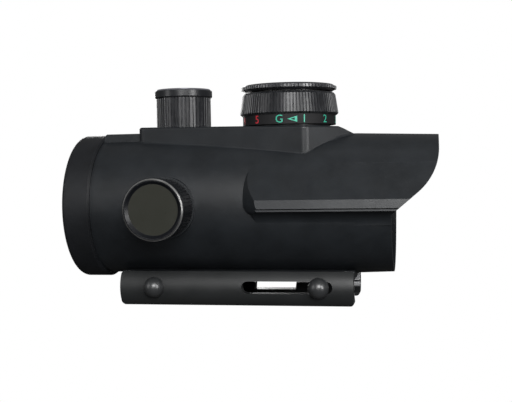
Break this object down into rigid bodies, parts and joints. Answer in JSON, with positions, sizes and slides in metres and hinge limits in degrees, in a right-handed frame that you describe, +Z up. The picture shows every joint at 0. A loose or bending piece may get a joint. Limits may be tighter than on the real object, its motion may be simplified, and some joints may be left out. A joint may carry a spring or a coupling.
{
  "type": "red dot finder",
  "caption": "Tubular reflex finder with sunshade hood, eyepiece ring, elevation and windage caps, rotary brightness dial with battery cover and a slotted rail clamp base.",
  "frame": {"origin": "middle of the flat rail seat on the underside of the base", "axes": "+X to the front (hood), +Y to the far side with the clamp nuts, +Z up"},
  "size_m": [0.095, 0.0502, 0.0564],
  "materials": {
    "cast_black": "matte black coating on cast aluminium",
    "ring_black": "satin black anodised",
    "cap_black": "satin black anodised",
    "clamp_black": "satin black coating",
    "steel_black": "black oxide",
    "steel": "bright",
    "brass": "satin",
    "aluminium": "satin",
    "inner_black": "flat black",
    "glass_clear": "clear coated",
    "glass_red": "red reflective coating",
    "rubber": "matte",
    "plastic": "matte",
    "board": "solder mask",
    "lamp": "clear resin"
  },
  "bodies": {
    "housing": {"main_housing": "cast_black", "eyepiece_ring": "ring_black", "rear_window": "glass_clear", "rear_window_gasket": "rubber", "window_retaining_ring": "inner_black", "objective_bezel": "inner_black", "gimbal_upright_pins": "steel", "bias_spring": "steel", "dial_base": "aluminium", "dial_base_screws": "steel", "dial_oring": "rubber", "coin_cell": "steel", "battery_spring": "brass", "contact_board": "board", "detent_ball": "steel", "detent_spring": "steel", "near_jaw": "clamp_black", "rear_cross_bolt": "steel_black", "elevation_saddle": "brass", "windage_saddle": "brass"},
    "gimbal": {"gimbal_ring": "brass"},
    "optical_tube": {"inner_tube": "inner_black", "objective_lens": "glass_red", "objective_retaining_ring": "inner_black", "gimbal_level_pins": "steel", "emitter_holder": "plastic", "emitter_board": "board", "emitter_lamps": "lamp"},
    "elevation_screw": {"elevation_screw": "steel"},
    "elevation_plunger": {"elevation_plunger": "steel"},
    "elevation_cap_thread": {"elevation_cap_oring": "rubber"},
    "elevation_cap": {"elevation_cap": "cap_black"},
    "windage_screw": {"windage_screw": "steel"},
    "windage_plunger": {"windage_plunger": "steel"},
    "windage_cap_thread": {"windage_cap_oring": "rubber"},
    "windage_cap": {"windage_cap": "cap_black"},
    "dial": {"dial_knob": "cap_black"},
    "battery_cap_thread": {"battery_cap_oring": "rubber"},
    "battery_cap": {"battery_cap": "cap_black"},
    "far_jaw": {"far_jaw": "clamp_black", "rear_washer": "steel"},
    "rear_clamp_nut": {"rear_clamp_nut": "steel_black"},
    "front_bolt": {"front_cross_bolt": "steel_black"},
    "front_washer": {"front_washer": "steel"},
    "front_clamp_nut": {"front_clamp_nut": "steel_black"}
  },
  "joints": [
    {"name": "dial_turn", "type": "hinge", "parent": "housing", "child": "dial", "pos_m": [0.01315, 0, 0.045], "axis": [0, 0, 1], "continuous": true},
    {"name": "battery_cap_lift", "type": "slide", "parent": "housing", "child": "battery_cap_thread", "axis": [0, 0, 1], "range_m": [0, 0.00225]},
    {"name": "battery_cap_turn", "type": "hinge", "parent": "battery_cap_thread", "child": "battery_cap", "pos_m": [0.01315, 0, 0.049], "axis": [0, 0, 1], "range_deg": [0, 1080.5]},
    {"name": "elevation_cap_lift", "type": "slide", "parent": "housing", "child": "elevation_cap_thread", "axis": [0, 0, 1], "range_m": [0, 0.00225]},
    {"name": "elevation_cap_turn", "type": "hinge", "parent": "elevation_cap_thread", "child": "elevation_cap", "pos_m": [-0.0155, 0, 0.045], "axis": [0, 0, 1], "range_deg": [0, 1080.5]},
    {"name": "windage_cap_lift", "type": "slide", "parent": "housing", "child": "windage_cap_thread", "axis": [0, -1, 0], "range_m": [0, 0.00225]},
    {"name": "windage_cap_turn", "type": "hinge", "parent": "windage_cap_thread", "child": "windage_cap", "pos_m": [-0.016, -0.025, 0.019], "axis": [0, -1, 0], "range_deg": [0, 1080.5]},
    {"name": "elevation_screw_turn", "type": "hinge", "parent": "housing", "child": "elevation_screw", "pos_m": [-0.0155, 0, 0.041], "axis": [0, 0, 1], "range_deg": [-720.5, 720.5]},
    {"name": "elevation_plunger_slide", "type": "slide", "parent": "housing", "child": "elevation_plunger", "axis": [0, 0, 1], "range_m": [-0.0005, 0.0005]},
    {"name": "windage_screw_turn", "type": "hinge", "parent": "housing", "child": "windage_screw", "pos_m": [-0.016, -0.021, 0.019], "axis": [0, -1, 0], "range_deg": [-720.5, 720.5]},
    {"name": "windage_plunger_slide", "type": "slide", "parent": "housing", "child": "windage_plunger", "axis": [0, -1, 0], "range_m": [-0.0005, 0.0005]},
    {"name": "tube_yaw", "type": "hinge", "parent": "housing", "child": "gimbal", "pos_m": [0.029, 0, 0.019], "axis": [0, 0, 1], "range_deg": [-0.66, 0.66]},
    {"name": "tube_pitch", "type": "hinge", "parent": "gimbal", "child": "optical_tube", "pos_m": [0.029, 0, 0.019], "axis": [0, 1, 0], "range_deg": [-0.66, 0.66]},
    {"name": "far_jaw_slide", "type": "slide", "parent": "housing", "child": "far_jaw", "axis": [0, 1, 0], "range_m": [0, 0.002]},
    {"name": "rear_nut_turn", "type": "hinge", "parent": "far_jaw", "child": "rear_clamp_nut", "pos_m": [-0.0209, 0.016, -0.00165], "axis": [0, 1, 0], "range_deg": [0, 1441]},
    {"name": "front_bolt_slide", "type": "slide", "parent": "housing", "child": "front_bolt", "axis": [1, 0, 0], "range_m": [-0.018, 0.0019]},
    {"name": "front_washer_slide", "type": "slide", "parent": "front_bolt", "child": "front_washer", "axis": [0, 1, 0], "range_m": [0, 0.00201]},
    {"name": "front_nut_turn", "type": "hinge", "parent": "front_washer", "child": "front_clamp_nut", "pos_m": [0.0217, 0.016, -0.00165], "axis": [0, 1, 0], "range_deg": [0, 1441]}
  ],
  "couplings": [
    {"joint": "battery_cap_turn", "follows": "battery_cap_lift", "rad_per_m": 8377.6},
    {"joint": "elevation_cap_turn", "follows": "elevation_cap_lift", "rad_per_m": 8377.6},
    {"joint": "windage_cap_turn", "follows": "windage_cap_lift", "rad_per_m": 8377.6},
    {"joint": "elevation_screw_turn", "follows": "elevation_plunger_slide", "rad_per_m": 25133},
    {"joint": "tube_pitch", "follows": "elevation_plunger_slide", "rad_per_m": 22.472},
    {"joint": "windage_screw_turn", "follows": "windage_plunger_slide", "rad_per_m": 25133},
    {"joint": "tube_yaw", "follows": "windage_plunger_slide", "rad_per_m": 22.222},
    {"joint": "rear_nut_turn", "follows": "far_jaw_slide", "rad_per_m": 12566},
    {"joint": "front_washer_slide", "follows": "far_jaw_slide", "ratio": 1},
    {"joint": "front_nut_turn", "follows": "far_jaw_slide", "rad_per_m": 12566}
  ]
}
